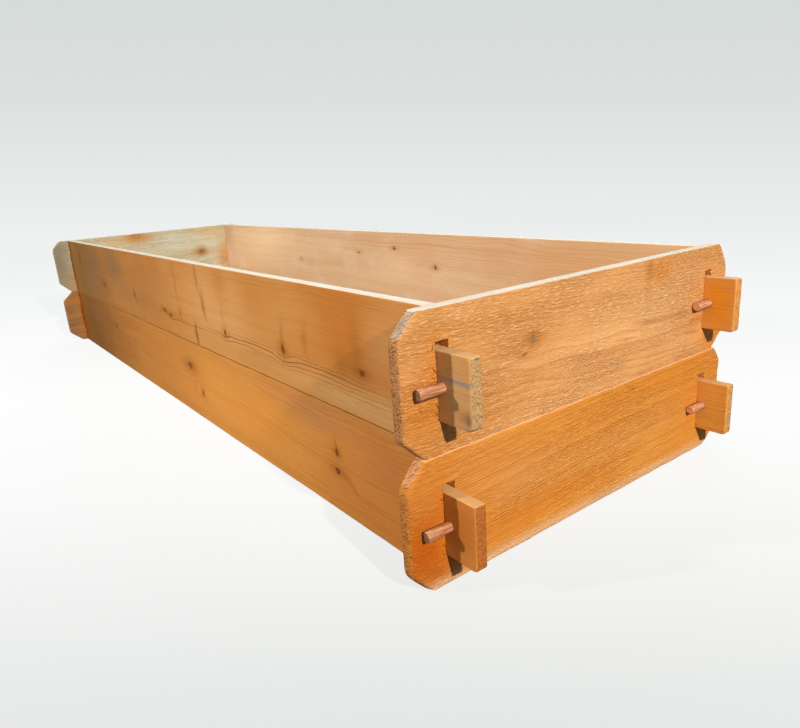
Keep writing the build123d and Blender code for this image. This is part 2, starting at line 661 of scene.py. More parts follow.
def show(shader, kind="ShaderNodeOutputMaterial"):
    made = node(kind)
    Shader.tree.links.new(shader.socket, made.inputs[0])


def principled(colour, rough, normal, specular):
    show(wire(node("ShaderNodeBsdfPrincipled"), {
        "Base Color": colour, "Roughness": rough, "Normal": normal,
        "Specular IOR Level": specular}))


def srgb(*channels):
    """sRGB 0-255 to linear."""
    shares = [c / 255.0 for c in channels]
    return tuple(c / 12.92 if c <= 0.04045 else ((c + 0.055) / 1.055) ** 2.4 for c in shares)


def scaled(colour, *factors):
    factors = factors if len(factors) == 3 else factors * 3
    return tuple(max(0.0, min(1.0, x * y)) for x, y in zip(colour, factors))


# ------------------------------------------------------------------ cedar
JOINT = (0.78, 0.27, 0.06)             # fresh cuts inside the joints
SEAM_SHADE = (0.25, 0.095, 0.018)            # painted shade in the joint between the tiers
KNOT_BROWN = srgb(134, 74, 22)


@dataclass
class Cedar:
    """How one board looks.  Colours are linear RGB, places are (run, rise) in mm.

    knots: run, rise, half length, half height, darkness[, colour]
    blobs: run, rise, run size, rise size, colour, strength; some paint light or shade
    bands: rise, half height, first run, last run, colour, strength; they follow the grain
    tears: run, rise, length, width, angle, strength; dark streaks across the grain
    cracks: run, rise, half length, half height, strength; lines along the grain
    """
    seed: float
    base: tuple                        # early wood
    late: tuple                        # late wood
    heart: tuple                       # rise and depth of the heart of the log
    spacing: float                     # mm between growth rings
    top: tuple                         # painted light on upward edges: amount, colour; a dark colour paints shade there instead
    end: tuple                         # end grain
    knots: list
    blobs: list
    wave: float = 7.0                  # wander of the heart along the board
    slope: float = 0.0                 # climb of the grain
    streak: float = 0.35               # strength of the broad dark streaks
    contrast: float = 1.0              # strength of the late wood
    threads: float = 1.0               # strength of the fine fibres
    sawn: float = 0.0                  # roughness left by the saw
    fuzz: float = 1.0                  # fineness of the lifted fibres
    bands: tuple = ()
    tears: tuple = ()
    cracks: tuple = ()
    sap: tuple = None                  # pale band at the bottom: rise, softness, colour, strength
    outer_tint: tuple = None           # the outer face is less bleached than the inner
    seam: tuple = None                 # painted shade line in the joint between the tiers: rise, half width
    # painted light on the tops of the tenons
    tenon_top_light: tuple = (0.60, 0.38, 0.165)


def locate(name):
    """Place in the board; depth is measured along the axis through its thickness."""
    place, (normal_x, normal_y, normal_z) = coordinates()
    x, y, z = place
    is_long = "end_board" not in name
    if is_long:
        run, depth, run_normal, depth_normal, face = x, y, normal_x, normal_y, Y_LONG
    else:
        run, depth, run_normal, depth_normal, face = y, x, normal_y, normal_x, FACE_OUT
    end = ramp(size_abs(run_normal), 0.38, 0.60) * ramp(size_abs(depth_normal), 0.80, 0.40)
    middle = 0.0
    return SimpleNamespace(
        place=place, is_long=is_long, run=run - middle, rise=z - Z0[tier_of(name)],
        depth=depth - side_of(name) * face, normal_z=normal_z, depth_normal=depth_normal,
        end=end, up=ramp(normal_z, 0.45, 0.85) * ramp(end, 0.75, 0.2))


def add_knots(look, at):
    """Knots: push moves the grain aside, halo and core colour it, rings mark the core."""
    first = True
    for run, rise, length, height, dark, *own in look.knots:
        tint = own[0] if own else KNOT_BROWN
        along, across = offset(at.run, run, length), offset(at.rise, rise, height)
        along2, across2 = along * along, across * across
        wobble = noise(xyz(along, across, run * 0.1), detail=3.0, scale=1.1)
        radius = calc("SQRT", along2 + across2) + mul_add(wobble, 1.15, -0.575)
        fade = calc("EXPONENT", mul_add(along2, -0.045, across2 * -0.16))
        push = across * fade * (0.86 * height)
        core = ramp(radius, 1.15, 0.60, 0.0, dark)
        halo = calc("EXPONENT", mul_add(along2, -0.10, across2 * -0.32)) * dark
        rings = calc("SINE", radius * 12.0) * core
        if first:
            at.push, at.core, at.halo, at.rings, at.knot = push, core, halo, rings, tint
            first = False
        else:
            at.push = at.push + push
            at.core = calc("MAXIMUM", at.core, core)
            at.halo = calc("MAXIMUM", at.halo, halo)
            at.rings = at.rings + rings
            at.knot = mix(calc("GREATER_THAN", core, 0.02), at.knot, tint)


def add_rings(look, at):
    """Growth rings round a heart that wanders along the board."""
    run, rise, depth, seed, wave = at.run, at.rise, at.depth, look.seed, look.wave
    slow = noise(xyz(run * 0.0018, seed + 1.7, rise * 0.0006))
    slow_depth = noise(xyz(run * 0.0023, seed + 9.2, rise * 0.003))
    medium = noise(xyz(run * 0.009, rise * 0.025, depth * 0.02 + seed))
    at.bent = (rise - at.push + (slow - 0.5) * (wave * 4.5) + (medium - 0.5) * (wave * 0.8)
               + run * look.slope)
    from_heart = at.bent - look.heart[0]
    in_depth = depth + (slow_depth - 0.5) * (wave * 6.0) - look.heart[1]
    radius = calc("SQRT", from_heart * from_heart + in_depth * in_depth)
    uneven = noise(xyz(run * 0.003, at.bent * 0.05, seed + 3.3), detail=1.0)
    ring = radius * (1.0 / look.spacing) + uneven * 2.6
    phase = calc("FRACT", ring)
    number = calc("FLOOR", ring) + seed * 7.0
    at.pick = wire(node("ShaderNodeTexWhiteNoise", noise_dimensions="1D"), {"W": number}, "Value")
    late = calc("MULTIPLY", calc("POWER", phase, 2.2),
                ramp(phase, 1.0, 0.90, shape="LINEAR"), clamp=True)
    at.late = late * ramp(at.pick, 0.0, 1.0, 0.35, 1.25, "LINEAR")
    at.fine = noise(xyz(run * 0.030, rise * 0.85, depth * 0.85), detail=3.0, rough=0.6)
    at.hair = noise(xyz(run * 0.16, rise * 3.0, depth * 3.0), rough=0.6)


def patches(look, at):
    """Early wood with its streaks, blobs (some of them painted light or shade), bands and sapwood.
    """
    run, rise, seed = at.run, at.rise, look.seed
    broad = noise(xyz(run * 0.0024, at.bent * 0.030, seed * 1.3 + at.depth * 0.02),
                  detail=3.0, rough=0.55)
    patch = noise(xyz(run * 0.0065, rise * 0.011, seed + 5.5))
    colour = mix(ramp(broad, 0.34, 0.70) * look.streak, look.base,
                 scaled(look.base, 0.80, 0.62, 0.42))
    colour = mix(ramp(patch, 0.46, 0.74) * 0.50, colour, scaled(look.base, 1.12, 1.24, 1.45))
    cloud = mul_add(noise(xyz(run * 0.02, rise * 0.05, seed), detail=3.0), -0.8, -0.6)
    for blob_run, blob_rise, length, height, tint, strength in look.blobs:
        along, across = offset(run, blob_run, length), offset(rise, blob_rise, height)
        distance2 = mul_add(along, along, across * across)
        colour = mix(calc("EXPONENT", distance2 * cloud) * strength, colour, tint)
    for band_rise, half, first, last, tint, strength in look.bands:
        along = ramp(run, first - 60, first + 30) * ramp(run, last + 60, last - 30)
        away = size_abs(mul_add(at.fine, half * 1.2, -half * 0.6 - band_rise) + at.bent)
        colour = mix(ramp(away, half * 1.25, half * 0.5) * along * strength, colour, tint)
    if look.sap is not None:
        level, soft, tint, strength = look.sap
        uneven = noise(xyz(run * 0.012, rise * 0.25, seed), detail=3.0) - 0.5
        edge = rise + uneven * (soft * 1.9)
        colour = mix(ramp(edge, level + soft, level - soft) * strength, colour, tint)
    return colour


def grain(look, at, colour):
    """Late wood, then lengthwise threads of resin and pores."""
    contrast, threads = look.contrast, look.threads
    thread = scaled(look.late, 0.85, 0.72, 0.55)
    colour = mix(at.late * (0.78 * contrast), colour, mix(0.45, look.late, colour, "MULTIPLY"))
    colour = mix(ramp(at.pick, 0.70, 1.0) * (0.22 * contrast), colour,
                 scaled(look.base, 0.80, 0.62, 0.42))
    colour = mix(ramp(at.fine, 0.55, 0.74) * (0.42 * threads), colour, thread)
    colour = mix(ramp(at.fine, 0.44, 0.28) * (0.34 * threads), colour,
                 tinted(colour, (1.22, 1.34, 1.55)))
    return mix(ramp(at.hair, 0.55, 0.8) * (0.25 * threads), colour, thread)


def cracks(look, at, colour):
    """Resin lines and checks along the grain; returns the colour and their depth."""
    deepest = None
    pushed = at.rise - at.push
    for run, rise, length, height, strength in look.cracks:
        drift = mul_add(noise(xyz(at.run * 0.012, rise * 0.1, look.seed), detail=3.0),
                        -9.0, 4.5 - rise)
        away = size_abs(pushed + drift)
        along = ramp(size_abs(at.run - run), length, length * 0.5)
        crack = ramp(away, height, height * 0.15, 0.0, strength) * along
        colour = mix(crack * 0.8, colour, srgb(142, 84, 30))
        deepest = crack if deepest is None else calc("MAXIMUM", deepest, crack)
    return colour, deepest


def tears(look, at, colour):
    for run, rise, length, width, angle, strength in look.tears:
        cos, sin = math.cos(angle), math.sin(angle)
        along = mul_add(at.run, cos / length, mul_add(
            at.rise, sin / length, -(run * cos + rise * sin) / length))
        across = mul_add(at.run, -sin / width, mul_add(
            at.rise, cos / width, (run * sin - rise * cos) / width - 0.7))
        across = across + along * along * 0.5 + noise(xyz(along, run, 0.0), scale=2.0) * 1.4
        distance2 = mul_add(along, along, across * across)
        if width > 1.45:               # a stain that has run
            mask = calc("EXPONENT", distance2 * -0.9)
            tint = tinted(colour, (0.52, 0.34, 0.13))
        else:                          # a torn fibre
            mask = ramp(distance2, 1.3, 0.15)
            tint = srgb(112, 54, 14)
        colour = mix(mask * strength, colour, tint)
    return colour


def end_grain(look, at, colour):
    """Duller, with strong rings and short dark strokes that lean across it."""
    fresh_from = FACE_IN + 4.0 if at.is_long else HALF_W - 42.0
    fresh = ramp(size_abs(at.run), fresh_from + 3.0, fresh_from - 3.0)
    light = mix(fresh, look.end, JOINT)
    dark = mix(fresh, scaled(look.end, 0.60, 0.50, 0.40), scaled(JOINT, 0.7, 0.55, 0.4))
    wood = mix(at.late * 0.75, light, dark)
    along = at.depth * 0.80 + at.rise * 0.46
    across = at.depth * -0.46 + at.rise * 0.80
    at.stroke = noise(xyz(along * 0.16, across * 0.75, look.seed + at.run * 0.05), rough=0.6)
    at.deepest = tinted(dark, (0.66, 0.56, 0.46))
    wood = mix(ramp(at.stroke, 0.53, 0.64, 0.0, 0.80), wood, at.deepest)
    at.pores = cells(spread(at.place, 0.9))
    wood = mix(ramp(at.pores, 0.42, 0.08, 0.0, 0.25), wood, at.deepest)
    return mix(at.end * 0.92, colour, wood)


def saw_marks(look, at, colour, normal):
    """Lifted fibres: short ripples along the grain, broken by the saw's passes across it."""
    run, rise, seed, sawn, fuzz = at.run, at.rise, look.seed, look.sawn, look.fuzz
    face = 1.0 - at.end
    lean = rise + run * 0.035 + noise(xyz(run * 0.012, rise * 0.016, seed)) * 8.0
    fibre = noise(xyz(run * (0.070 * fuzz), lean * (0.33 * fuzz), at.depth * 0.2 + seed),
                  detail=3.0, rough=0.58, distort=0.5)
    nicks = noise(xyz(run * 0.22, lean * 0.85, seed + 2.0), rough=0.6, distort=0.25)
    blade = calc("SINE", run * 1.15 + rise * 0.05
                 + noise(xyz(run * 0.01, rise * 0.02, seed)) * 14.0)
    blade_area = ramp(noise(xyz(run * 0.02, rise * 0.03, seed + 8.0)), 0.4, 0.65)
    calm = ramp(noise(xyz(run * 0.006, rise * 0.016, seed + 4.0)), 0.32, 0.62, 0.35, 1.0)
    height = (ramp(fibre, 0.34, 0.66) + nicks * 0.7 + blade * blade_area * 0.10) * calm
    normal = bump(height, 0.0015 * sawn, normal)
    dark = ramp(fibre, 0.47, 0.33) * (0.56 * sawn) * face * calm
    colour = mix(dark, colour, tinted(colour, (0.80, 0.60, 0.32)))
    lifted = ramp(fibre, 0.50, 0.66) * (0.72 * sawn) * face * calm
    colour = mix(lifted, colour, tinted(colour, (1.22, 1.42, 1.95)))
    nicked = ramp(nicks, 0.60, 0.74) * ramp(fibre, 0.54, 0.40) * (0.45 * sawn) * face
    return mix(nicked, colour, scaled(look.late, 0.9, 0.75, 0.5)), normal


def paint_top_light(look, at, colour):
    """Painted light on the upper edges and the clipped corners: upward faces lighter, as a light
    from above makes them.
    """
    amount, tint = look.top
    uneven = noise(xyz(at.run * 0.01, at.depth * 0.12, look.seed), detail=3.0)
    top_light = at.up * ramp(uneven, 0.25, 0.7, 0.75, 1.0) * amount
    if at.is_long:                     # the tenons' tops get their own painted light colour
        tenon = ramp(size_abs(at.run), FACE_IN - 4.0, FACE_IN + 4.0)
        top_light = (calc("MAXIMUM", top_light, at.up * tenon * 0.85)
                  * ramp(tenon, 0.0, 1.0, 1.0, 0.85))
        tint = mix(tenon, tint, look.tenon_top_light)
    colour = mix(top_light, colour, tint)
    # painted light on the sloping end grain of the clipped corners, broken by dark strokes
    sloping = ramp(at.normal_z, 0.40, 0.60) * ramp(at.normal_z, 0.95, 0.85)
    clip_top_light = mix(ramp(at.stroke, 0.50, 0.62, 0.0, 0.65),
                    scaled(look.top[1], 0.78, 0.70, 0.60), at.deepest)
    return mix(sloping * at.end * (0.70 * amount), colour, clip_top_light)


def cedar(name, look):
    """The material of one board."""
    material = new_material("cedar_" + name.removesuffix("_board"))
    at = locate(name)
    add_knots(look, at)
    add_rings(look, at)
    colour = grain(look, at, patches(look, at))
    crack = None
    if look.cracks:
        colour, crack = cracks(look, at, colour)
    colour = tears(look, at, colour)
    colour = mix(at.halo * 0.66, colour, tinted(colour, (0.66, 0.48, 0.20)))
    colour = mix(at.core, colour, mix(ramp(at.rings, -0.6, 0.8), tone(at.knot, 1.0, 0.60),
                                      tone(at.knot, 0.96, 1.10)))
    if look.outer_tint is not None:
        outward = at.depth_normal * float(side_of(name))
        colour = mix(ramp(outward, 0.2, 0.6), colour, tinted(colour, look.outer_tint))
    colour = end_grain(look, at, colour)
    normal = bump(at.late * 0.35 + at.fine * 0.55 + at.hair * 0.30, 0.00035)
    if look.sawn:
        colour, normal = saw_marks(look, at, colour, normal)
    # painted light on the upward edges and the clipped corners
    colour = paint_top_light(look, at, colour)
    # painted shade: a dark line along the joint between the tiers
    if look.seam is not None:
        level, half = look.seam
        wander = (noise(xyz(at.run * 0.02, look.seed, 0.7)) - 0.5) * half
        away = size_abs(at.rise + wander - level)
        colour = mix(ramp(away, half, half * 0.4) * 0.92, colour, SEAM_SHADE)
    # rubbed edges
    worn = ramp(pointiness(), 0.512, 0.55)
    worn = worn * ramp(noise(spread(at.place, 0.08), detail=3.0), 0.35, 0.6, 0.35, 1.0)
    colour = mix(worn * 0.45, colour, mix(0.5, scaled(look.base, 1.20, 1.40, 1.9),
                                          tinted(colour, (1.3, 1.4, 1.6))))
    normal = bump(at.core * -0.6 + at.rings * 0.2, 0.0006, normal)
    if crack is not None:
        normal = bump(crack * -1.0, 0.0012, normal, strength=1.0)
    pits = (ramp(at.pores, 0.5, 0.1) + ramp(at.stroke, 0.52, 0.68)) * at.end * -1.0
    normal = bump(pits, 0.0006, normal)
    rough = 0.60 + 0.10 * look.sawn + at.fine * 0.18 + at.end * 0.12 + at.late * -0.08
    principled(colour, rough, normal, specular=0.10)
    return material


def dowel(name, centre_x, centre_z, seed, is_front):
    """A peg's material; the front pegs are slightly darker, and their ends carry painted shade; the
    back pegs' ends carry painted light.
    """
    material = new_material(name)
    # the second factor paints shade on the front pegs' ends and light on the back pegs' ends
    side_light, end_painted_light = (1.0, 0.42) if is_front else (1.05, 1.7)
    place, normals = coordinates()
    y = place[1]
    x, z = place[0] - centre_x, place[2] - centre_z
    end = ramp(size_abs(normals[1]), 0.6, 0.9)
    wobble = (noise(xyz(x * 0.1, y * 0.02, z * 0.1)) - 0.5) * 3.0
    across = x * 0.9 + z * 0.35 + wobble + x * x * 0.02
    late = calc("POWER", calc("FRACT", across * 0.55 + seed), 3.0)
    fibre = noise(xyz(x * 0.55, y * 0.03, z * 0.55), detail=3.0, rough=0.65)

    def shade(light, *rgb):
        return scaled(srgb(*rgb), light)

    colour = mix(late * 0.60, shade(side_light, 188, 132, 94), shade(side_light, 154, 92, 56))
    colour = mix(ramp(fibre, 0.50, 0.60) * 0.75, colour, shade(side_light, 140, 82, 50))
    colour = mix(ramp(fibre, 0.47, 0.36) * 0.75, colour, shade(side_light, 216, 174, 144))
    grime = noise(spread(place, 0.06), detail=3.0)
    colour = mix(ramp(grime, 0.5, 0.75) * 0.25, colour, srgb(138, 80, 48))
    pores = cells(spread(place, 1.5))
    wood = mix(late * 0.6, shade(end_painted_light, 198, 138, 92), shade(end_painted_light, 150, 92, 52))
    wood = mix(ramp(pores, 0.4, 0.1, 0.0, 0.5), wood, shade(end_painted_light, 104, 56, 26))
    colour = mix(end * 0.9, colour, wood)
    colour = mix(ramp(pointiness(), 0.51, 0.57) * 0.35, colour, srgb(216, 164, 128))
    normal = bump(fibre + late * 0.4, 0.0010, strength=0.9)
    normal = bump(ramp(pores, 0.5, 0.1) * end * -1.0, 0.0005, normal)
    principled(colour, 0.5 + fibre * 0.2 + end * 0.15, normal, specular=0.3)
    return material


# ------------------------------------------------------------------ the boards' own shapes and looks
END_SHAPES = {
    "upper_right_end_board": dict(tl=(30, 33, 12, 24), bl=(30, 30, 12, 16),
                                  tr=(27, 38, 8, 26), br=(29, 29, 22, 22)),
    "lower_right_end_board": dict(bl=(30, 31, 28, 28), br=(36, 28, 16, 18), tl=(30, 33, 16, 30),
                                  tr=(22, 26, 15, 15), end_r=7.0, bottom_r=3.0, top_r=4.6),
    "upper_left_end_board": dict(bl=(34, 34, 8, 14), tl=(26, 28, 22, 26)),
    "lower_left_end_board": dict(tl=(38, 34, 8, 14), bl=(40, 34, 14, 20)),
}

BROWN = dict(base=(0.60, 0.250, 0.055), late=(0.36, 0.105, 0.013))
# painted light: the pale colour of upward edges lit from above
PAINTED_TOP_LIGHT = (0.66, 0.64, 0.56)

LOOKS = {
    # light tan, fuzzy from the saw
    "upper_right_end_board": Cedar(
        seed=2.1, base=(0.655, 0.325, 0.118), late=(0.48, 0.180, 0.036),
        heart=(60.0, -70.0), spacing=4.6, wave=6.0, slope=0.06, contrast=0.7,
        sawn=1.0, fuzz=1.3, top=(0.95, PAINTED_TOP_LIGHT), end=(0.60, 0.275, 0.105),
        knots=[(-143, 118, 5.5, 8.5, 0.85, srgb(150, 118, 84)), (-160, 98, 5, 3.4, 0.45)],
        blobs=[
            (60, 95, 190, 60, (0.72, 0.41, 0.17), 0.55),
            (-143, 118, 36, 15, (0.54, 0.22, 0.05), 0.55),
            (-355, 45, 64, 60, (0.55, 0.205, 0.03), 0.75),
            (-330, 150, 60, 50, (0.57, 0.255, 0.07), 0.6),
            (-260, 25, 90, 26, (0.56, 0.22, 0.045), 0.5),
            (-322, 95, 12, 62, (0.6, 0.2, 0.022), 0.75),
            (-345, 70, 22, 26, (0.58, 0.21, 0.03), 0.6),
            (-200, 150, 80, 20, (0.62, 0.29, 0.085), 0.5),
            (158, 168, 34, 18, (0.62, 0.225, 0.032), 0.8),
            (130, 176, 9, 20, (0.36, 0.16, 0.03), 0.65),
            (126, 150, 9, 30, (0.46, 0.21, 0.05), 0.3),
            (352, 30, 46, 40, (0.66, 0.215, 0.02), 0.9),
            (325, 75, 50, 46, (0.7, 0.3, 0.07), 0.6),
            (322, 92, 12, 70, (0.68, 0.25, 0.04), 0.6)],
        bands=[(96, 6.5, 120, 250, (0.48, 0.195, 0.07), 0.55),
               (52, 2.0, -60, 160, (0.46, 0.17, 0.035), 0.35)],
        tears=[
            (-321, 112, 6.5, 1.1, 2.3, 0.95), (-324, 104, 5.0, 0.9, 2.5, 0.85),
            (-320, 66, 6.0, 1.1, 2.1, 0.95), (-321, 55, 5.0, 1.0, 2.2, 0.9),
            (-318, 47, 5.0, 1.2, 2.5, 1.0), (-323, 142, 5.0, 1.0, 1.4, 0.8),
            (-333, 118, 7.0, 0.8, 0.3, 0.5), (-330, 70, 8.0, 0.8, 0.2, 0.45),
            (-346, 66, 5.0, 1.0, 2.2, 0.6)]),
    # a stronger orange, sapwood along the bottom
    "lower_right_end_board": Cedar(
        seed=5.4, base=(0.64, 0.262, 0.044), late=(0.43, 0.120, 0.012),
        heart=(-95.0, -60.0), spacing=3.6, wave=7.0, slope=-0.03, contrast=0.9,
        sawn=0.66, fuzz=1.15, top=(0.95, (0.76, 0.44, 0.26)), end=(0.60, 0.225, 0.048),
        sap=(15.0, 9.0, (0.68, 0.41, 0.205), 0.85),
        knots=[(96, 172, 5, 2.4, 0.3)],
        blobs=[
            (-352, 66, 66, 80, (0.41, 0.08, 0.001), 0.95),
            (-345, 150, 50, 40, (0.45, 0.155, 0.01), 0.7),
            (-250, 150, 150, 36, (0.58, 0.245, 0.058), 0.6),
            (-165, 106, 70, 34, (0.56, 0.28, 0.1), 0.45),
            (60, 95, 200, 30, (0.64, 0.3, 0.082), 0.55),
            (-120, 50, 150, 20, (0.58, 0.185, 0.02), 0.6),
            (330, 60, 60, 60, (0.66, 0.245, 0.024), 0.7),
            (180, 168, 170, 14, (0.66, 0.235, 0.03), 0.5),
            (-322, 95, 10, 60, (0.56, 0.155, 0.01), 0.7)],
        tears=[(-320, 60, 5.0, 1.0, 2.3, 0.8), (-321, 128, 5.0, 0.9, 2.2, 0.7),
               (-322, 48, 4.0, 1.0, 2.4, 0.9)]),
    # pale and a little grey on the inner face
    "upper_left_end_board": Cedar(
        seed=8.8, base=(0.375, 0.355, 0.255), late=(0.29, 0.235, 0.13),
        heart=(40.0, 80.0), spacing=5.0, wave=9.0, contrast=0.9, sawn=0.5, fuzz=0.8,
        top=(0.9, PAINTED_TOP_LIGHT), end=(0.40, 0.31, 0.19), outer_tint=(1.55, 0.88, 0.45),
        knots=[(-67, 184, 7, 6, 0.7, srgb(150, 130, 110)), (187, 90, 6, 8, 1.0)],
        blobs=[
            (-70, 176, 60, 24, (0.36, 0.14, 0.018), 1.0),
            (170, 88, 60, 14, (0.32, 0.17, 0.055), 0.8),
            (190, 90, 22, 20, (0.24, 0.11, 0.03), 0.8),
            (290, 60, 36, 70, (0.36, 0.17, 0.04), 0.85),
            (-372, 95, 76, 400, (0.142, 0.122, 0.088), 1.0),
            (-316, 30, 12, 60, (0.24, 0.09, 0.01), 0.9),
            (-340, 20, 60, 40, (0.26, 0.18, 0.1), 0.7),
            (60, 60, 120, 16, (0.36, 0.24, 0.13), 0.4),
            (-160, 150, 50, 30, (0.46, 0.3, 0.14), 0.6),
            (240, 170, 60, 26, (0.44, 0.3, 0.15), 0.7)]),
    "lower_left_end_board": Cedar(
        seed=11.6, **BROWN, heart=(130.0, 70.0), spacing=3.8, sawn=0.35,
        top=(0.4, (0.5, 0.3, 0.15)), end=(0.38, 0.22, 0.10),
        knots=[(120, 60, 7, 6, 0.8), (-210, 130, 5, 4, 0.8)],
        blobs=[(-366, 100, 100, 400, (0.118, 0.078, 0.036), 1.0),
               (-314, 90, 14, 400, (0.17, 0.055, 0.004), 0.9)]),
    "upper_front_board": Cedar(
        seed=3.7, **BROWN, heart=(30.0, -40.0), spacing=5.6, wave=9.0, slope=0.006,
        streak=0.45, contrast=0.26, threads=0.5, top=(1.0, PAINTED_TOP_LIGHT), end=(0.54, 0.35, 0.165),
        seam=(0.0, 1.3),
        knots=[(-591, 68, 9, 7, 0.9), (15, 57, 12, 5, 0.75), (58, 49, 10, 5, 0.9),
               (404, 56, 6, 8, 0.85), (664, 66, 7, 10, 1.0), (913, 73, 8, 6, 0.95)],
        blobs=[
            # painted shade: the far end of the board darker, where the light falls off
            (-900, 100, 500, 400, (0.245, 0.118, 0.031), 0.97),
            (-430, 138, 95, 50, (0.22, 0.135, 0.07), 0.65),
            (-760, 60, 120, 30, (0.28, 0.15, 0.075), 0.6),
            (-700, 130, 80, 40, (0.225, 0.13, 0.066), 0.6),
            (-1056, 70, 26, 260, (0.22, 0.062, 0.002), 1.0),
            (-1037, 150, 5, 26, (0.12, 0.06, 0.012), 0.85),
            (-110, 110, 190, 120, (0.44, 0.185, 0.05), 0.7),
            (-300, 58, 130, 40, (0.36, 0.17, 0.058), 0.55),
            (385, 100, 250, 110, (0.72, 0.37, 0.128), 0.9),
            (405, 165, 40, 50, (0.54, 0.19, 0.03), 0.55),
            (560, 150, 60, 60, (0.56, 0.21, 0.034), 0.6),
            (690, 110, 140, 90, (0.62, 0.27, 0.068), 0.6),
            (880, 125, 95, 90, (0.56, 0.18, 0.024), 0.85),
            (903, 108, 18, 48, (0.36, 0.125, 0.016), 0.65),
            (860, 80, 24, 30, (0.42, 0.14, 0.016), 0.6),
            (985, 120, 60, 70, (0.62, 0.29, 0.09), 0.85),
            (960, 70, 60, 22, (0.52, 0.185, 0.04), 0.5),
            (900, 22, 240, 26, (0.64, 0.345, 0.13), 0.85),
            (500, 24, 200, 20, (0.6, 0.28, 0.08), 0.6),
            (1115, 92, 45, 62, (0.5, 0.295, 0.12), 0.97),
            (1128, 62, 15, 10, (0.36, 0.18, 0.07), 0.75),
            (1137, 60, 6, 8, (0.16, 0.115, 0.08), 0.85)],
        bands=[(118, 3.2, 1104, 1150, (0.23, 0.215, 0.19), 0.85),
               (60, 2.2, 1112, 1150, (0.34, 0.25, 0.17), 0.7)],
        tears=[
            (276, 160, 34, 8.0, 1.66, 0.5), (296, 100, 28, 8.0, 1.62, 0.72),
            (128, 140, 56, 7.0, 1.6, 0.34), (133, 62, 14, 7.0, 1.5, 0.5),
            (228, 24, 26, 7.0, 1.66, 1.0), (-246, 70, 17, 5.5, 2.05, 1.0),
            (-903, 138, 34, 6.5, 1.55, 0.85), (20, 54, 22, 3.0, 2.75, 0.75),
            (664, 90, 26, 6.0, 1.5, 0.35), (400, 96, 16, 7.0, 1.5, 0.25),
            (745, 96, 26, 9.0, 1.5, 0.35)],
        cracks=[(640, 52, 430, 1.7, 0.75), (620, 44, 400, 1.2, 0.6), (700, 60, 330, 1.1, 0.5),
                (760, 36, 330, 1.1, 0.4), (170, 44, 150, 1.8, 0.6), (930, 30, 140, 1.1, 0.35)]),
    "lower_front_board": Cedar(
        seed=6.9, **BROWN, heart=(215.0, -52.0), spacing=6.8, wave=9.0, slope=-0.012,
        # painted shade: the top edge lies dark in the joint under the upper board
        streak=0.45, contrast=0.40, threads=0.6, top=(0.9, (0.20, 0.075, 0.015)),
        end=(0.46, 0.150, 0.030), seam=(190.3, 1.4),
        knots=[(-535, 127, 7, 6, 0.8), (146, 126, 16, 10, 0.75), (209, 69, 6, 9, 0.8),
               (817, 109, 4.5, 7, 0.95), (815, 75, 8, 6, 1.0)],
        blobs=[
            # painted shade: the far end of the board darker, where the light falls off
            (-900, 90, 500, 400, (0.205, 0.086, 0.018), 0.97),
            (-760, 130, 120, 30, (0.28, 0.13, 0.05), 0.5),
            (-1050, 110, 30, 260, (0.22, 0.058, 0.001), 1.0),
            (80, 90, 200, 110, (0.56, 0.215, 0.044), 0.6),
            (330, 90, 280, 110, (0.79, 0.33, 0.066), 0.92),
            (610, 80, 170, 110, (0.8, 0.32, 0.058), 0.85),
            (830, 80, 40, 36, (0.42, 0.16, 0.04), 0.55),
            (860, 100, 110, 90, (0.7, 0.255, 0.051), 0.75),
            (720, 160, 160, 26, (0.56, 0.25, 0.095), 0.6),
            (985, 120, 90, 70, (0.54, 0.19, 0.046), 0.75),
            (950, 40, 120, 40, (0.6, 0.2, 0.034), 0.6),
            (146, 126, 60, 26, (0.46, 0.18, 0.045), 0.5),
            (1110, 92, 45, 62, (0.44, 0.14, 0.022), 0.95)],
        tears=[(850, 66, 26, 5.0, -0.5, 0.35), (817, 118, 14, 3.4, 1.9, 0.5),
               (160, 70, 20, 4.0, 1.5, 0.3)],
        cracks=[(900, 52, 90, 1.0, 0.4), (935, 44, 70, 1.0, 0.4)]),
    # pale and peachy, orange at the tenons
    "upper_back_board": Cedar(
        seed=10.3, base=(0.56, 0.385, 0.232), late=(0.50, 0.225, 0.080),
        heart=(235.0, 64.0), spacing=5.4, slope=0.012, streak=0.40, contrast=0.5, threads=0.7,
        top=(1.0, PAINTED_TOP_LIGHT), end=(0.74, 0.36, 0.09), tenon_top_light=(0.76, 0.50, 0.27),
        outer_tint=(1.12, 0.80, 0.45),
        knots=[(169, 145, 7, 4.5, 0.95), (-16, 125, 6, 4, 0.7), (348, 103, 6, 6, 0.9),
               (-391, 83, 5, 4, 0.5)],
        blobs=[
            # painted light: the far part of the inner face brighter, with a brighter streak along
            # the top
            (-720, 110, 270, 80, (0.7, 0.49, 0.29), 0.85),
            (-640, 150, 190, 40, (0.78, 0.58, 0.36), 0.55),
            # painted shadow: soft shade in the far corner, browner at the top and lavender grey
            # lower down
            (-1030, 150, 46, 60, (0.4, 0.29, 0.19), 0.8),
            (-1010, 50, 60, 50, (0.5, 0.36, 0.27), 0.6),
            (850, 140, 330, 60, (0.5, 0.27, 0.115), 0.75),
            (300, 150, 260, 40, (0.54, 0.33, 0.175), 0.6),
            (250, 60, 320, 40, (0.62, 0.4, 0.24), 0.5),
            (190, 100, 90, 34, (0.72, 0.5, 0.33), 0.5),
            (1110, 92, 52, 100, (0.82, 0.285, 0.012), 1.0),
            (-1110, 92, 52, 100, (0.56, 0.22, 0.035), 0.9)],
        bands=[(150, 2.2, -50, 900, (0.5, 0.27, 0.13), 0.5),
               (162, 1.6, 100, 1000, (0.5, 0.25, 0.11), 0.5),
               (137, 1.6, 200, 900, (0.56, 0.31, 0.15), 0.5)]),
    "lower_back_board": Cedar(
